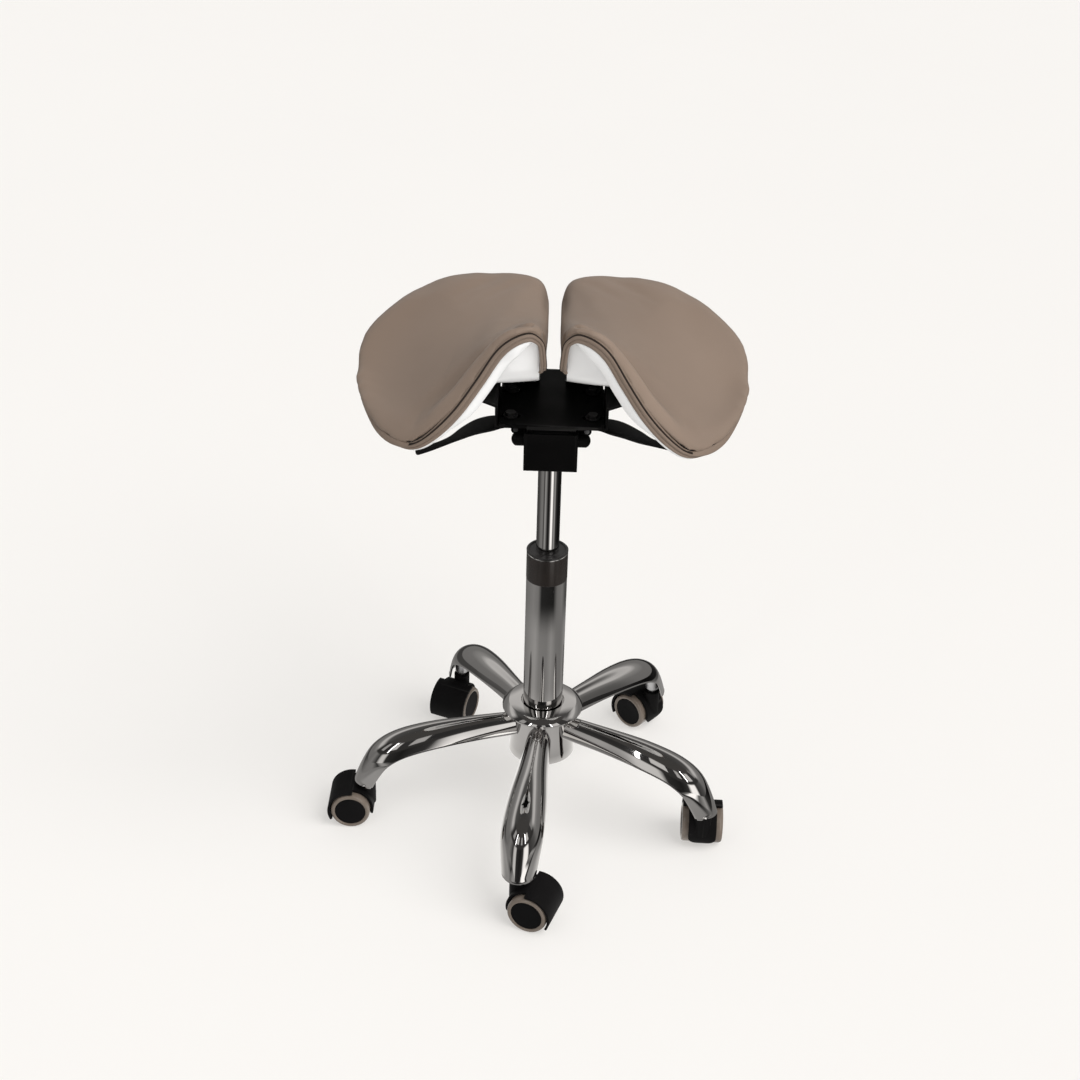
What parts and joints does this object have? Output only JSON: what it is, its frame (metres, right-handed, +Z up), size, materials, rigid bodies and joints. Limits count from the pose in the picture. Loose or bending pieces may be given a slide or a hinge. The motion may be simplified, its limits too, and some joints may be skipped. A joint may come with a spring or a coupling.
{
  "type": "ergonomic saddle stool",
  "caption": "Split saddle stool: padded seat halves on white shells, a tilting plate with levers, a gas-lift column and a chrome star base on hooded casters.",
  "frame": {"origin": "on the floor, on the axis of the column", "axes": "+Z up along the column, +Y towards the raised rear of the seat, +X to the side of the height lever"},
  "size_m": [0.5051, 0.4853, 0.7164],
  "materials": {
    "seat_cover": "smooth, soft sheen",
    "seat_shell": "gloss white",
    "black_steel": "satin black powder coat",
    "fixings": "black zinc",
    "lever_plastic": "matt black",
    "chrome": "polished",
    "black_plastic": "matt black",
    "inner_rubber": "matt",
    "socket_steel": "plain steel",
    "caster_wheel": "smooth polyurethane"
  },
  "bodies": {
    "base": {"lift_outer_tube": "chrome", "lift_guide_bush": "black_plastic", "lift_thrust_bearing": "fixings", "base_hub": "chrome", "base_arms": "chrome", "base_caster_sockets": "socket_steel"},
    "column_rod": {"lift_piston_rod": "fixings"},
    "carriage": {"lift_piston_tube": "chrome", "lift_rod_seal": "inner_rubber", "tilt_housing": "black_steel", "tilt_column_socket": "black_steel", "tilt_pivot_shaft": "black_steel", "tilt_spring_sleeve": "inner_rubber", "tilt_lever_pins": "fixings"},
    "release_pin": {"lift_release_pin": "fixings"},
    "height_lever": {"lever_right": "lever_plastic"},
    "tilt_lever": {"lever_left": "lever_plastic"},
    "seat_frame": {"tilt_seat_plate": "black_steel"},
    "seat_right": {"seat_right_bracket": "black_steel", "seat_right_fasteners": "fixings", "seat_right_shell": "seat_shell", "seat_right_pad": "seat_cover"},
    "seat_left": {"seat_left_bracket": "black_steel", "seat_left_fasteners": "fixings", "seat_left_shell": "seat_shell", "seat_left_pad": "seat_cover"},
    "caster_1": {"caster_1_hood": "black_plastic", "caster_1_pins": "socket_steel"},
    "caster_1_roller_a": {"caster_1_wheel_a": "caster_wheel"},
    "caster_1_roller_b": {"caster_1_wheel_b": "caster_wheel"},
    "caster_2": {"caster_2_hood": "black_plastic", "caster_2_pins": "socket_steel"},
    "caster_2_roller_a": {"caster_2_wheel_a": "caster_wheel"},
    "caster_2_roller_b": {"caster_2_wheel_b": "caster_wheel"},
    "caster_3": {"caster_3_hood": "black_plastic", "caster_3_pins": "socket_steel"},
    "caster_3_roller_a": {"caster_3_wheel_a": "caster_wheel"},
    "caster_3_roller_b": {"caster_3_wheel_b": "caster_wheel"},
    "caster_4": {"caster_4_hood": "black_plastic", "caster_4_pins": "socket_steel"},
    "caster_4_roller_a": {"caster_4_wheel_a": "caster_wheel"},
    "caster_4_roller_b": {"caster_4_wheel_b": "caster_wheel"},
    "caster_5": {"caster_5_hood": "black_plastic", "caster_5_pins": "socket_steel"},
    "caster_5_roller_a": {"caster_5_wheel_a": "caster_wheel"},
    "caster_5_roller_b": {"caster_5_wheel_b": "caster_wheel"}
  },
  "joints": [
    {"name": "column_swivel", "type": "hinge", "parent": "base", "child": "column_rod", "pos_m": [0, 0, 0.09], "axis": [0, 0, 1], "continuous": true},
    {"name": "height_slide", "type": "slide", "parent": "column_rod", "child": "carriage", "axis": [0, 0, 1], "range_m": [-0.12, 0.02]},
    {"name": "seat_tilt", "type": "hinge", "parent": "carriage", "child": "seat_frame", "pos_m": [0, -0.033, 0.547], "axis": [1, 0, 0], "range_deg": [-8, 5]},
    {"name": "seat_right_width", "type": "slide", "parent": "seat_frame", "child": "seat_right", "axis": [1, 0, 0], "range_m": [0, 0.007]},
    {"name": "seat_left_width", "type": "slide", "parent": "seat_frame", "child": "seat_left", "axis": [-1, 0, 0], "range_m": [0, 0.007]},
    {"name": "height_lever_lift", "type": "hinge", "parent": "carriage", "child": "height_lever", "pos_m": [0.041, -0.004, 0.551], "axis": [0, -1, 0], "range_deg": [0, 4]},
    {"name": "tilt_lever_lift", "type": "hinge", "parent": "carriage", "child": "tilt_lever", "pos_m": [-0.041, -0.004, 0.551], "axis": [0, 1, 0], "range_deg": [0, 4]},
    {"name": "release_pin_press", "type": "slide", "parent": "carriage", "child": "release_pin", "axis": [0, 0, -1], "range_m": [0, 0.003], "stiffness_N_per_m": 100, "springref_m": -0.002},
    {"name": "caster_1_swivel", "type": "hinge", "parent": "base", "child": "caster_1", "pos_m": [-0.02256, -0.22487, 0.06], "axis": [0, 0, 1], "continuous": true},
    {"name": "caster_1_roll_a", "type": "hinge", "parent": "caster_1", "child": "caster_1_roller_a", "pos_m": [-0.0033, -0.23188, 0.025], "axis": [0.342, 0.9397, 0], "continuous": true},
    {"name": "caster_1_roll_b", "type": "hinge", "parent": "caster_1", "child": "caster_1_roller_b", "pos_m": [-0.0033, -0.23188, 0.025], "axis": [0.342, 0.9397, 0], "continuous": true},
    {"name": "caster_2_swivel", "type": "hinge", "parent": "base", "child": "caster_2", "pos_m": [0.20689, -0.09095, 0.06], "axis": [0, 0, 1], "continuous": true},
    {"name": "caster_2_roll_a", "type": "hinge", "parent": "caster_2", "child": "caster_2_roller_a", "pos_m": [0.20761, -0.07046, 0.025], "axis": [-0.9994, 0.0349, 0], "continuous": true},
    {"name": "caster_2_roll_b", "type": "hinge", "parent": "caster_2", "child": "caster_2_roller_b", "pos_m": [0.20761, -0.07046, 0.025], "axis": [-0.9994, 0.0349, 0], "continuous": true},
    {"name": "caster_3_swivel", "type": "hinge", "parent": "base", "child": "caster_3", "pos_m": [0.15043, 0.16866, 0.06], "axis": [0, 0, 1], "continuous": true},
    {"name": "caster_3_roll_a", "type": "hinge", "parent": "caster_3", "child": "caster_3_roller_a", "pos_m": [0.13473, 0.18184, 0.025], "axis": [-0.6428, -0.766, 0], "continuous": true},
    {"name": "caster_3_roll_b", "type": "hinge", "parent": "caster_3", "child": "caster_3_roller_b", "pos_m": [0.13473, 0.18184, 0.025], "axis": [-0.6428, -0.766, 0], "continuous": true},
    {"name": "caster_4_swivel", "type": "hinge", "parent": "base", "child": "caster_4", "pos_m": [-0.11392, 0.19519, 0.06], "axis": [0, 0, 1], "continuous": true},
    {"name": "caster_4_roll_a", "type": "hinge", "parent": "caster_4", "child": "caster_4_roller_a", "pos_m": [-0.12193, 0.17632, 0.025], "axis": [0.9205, -0.3907, 0], "continuous": true},
    {"name": "caster_4_roll_b", "type": "hinge", "parent": "caster_4", "child": "caster_4_roller_b", "pos_m": [-0.12193, 0.17632, 0.025], "axis": [0.9205, -0.3907, 0], "continuous": true},
    {"name": "caster_5_swivel", "type": "hinge", "parent": "base", "child": "caster_5", "pos_m": [-0.22084, -0.04803, 0.06], "axis": [0, 0, 1], "continuous": true},
    {"name": "caster_5_roll_a", "type": "hinge", "parent": "caster_5", "child": "caster_5_roller_a", "pos_m": [-0.24134, -0.04803, 0.025], "axis": [0, -1, 0], "continuous": true},
    {"name": "caster_5_roll_b", "type": "hinge", "parent": "caster_5", "child": "caster_5_roller_b", "pos_m": [-0.24134, -0.04803, 0.025], "axis": [0, -1, 0], "continuous": true}
  ],
  "couplings": [
    {"joint": "release_pin_press", "follows": "height_lever_lift", "m_per_rad": 0.04}
  ]
}
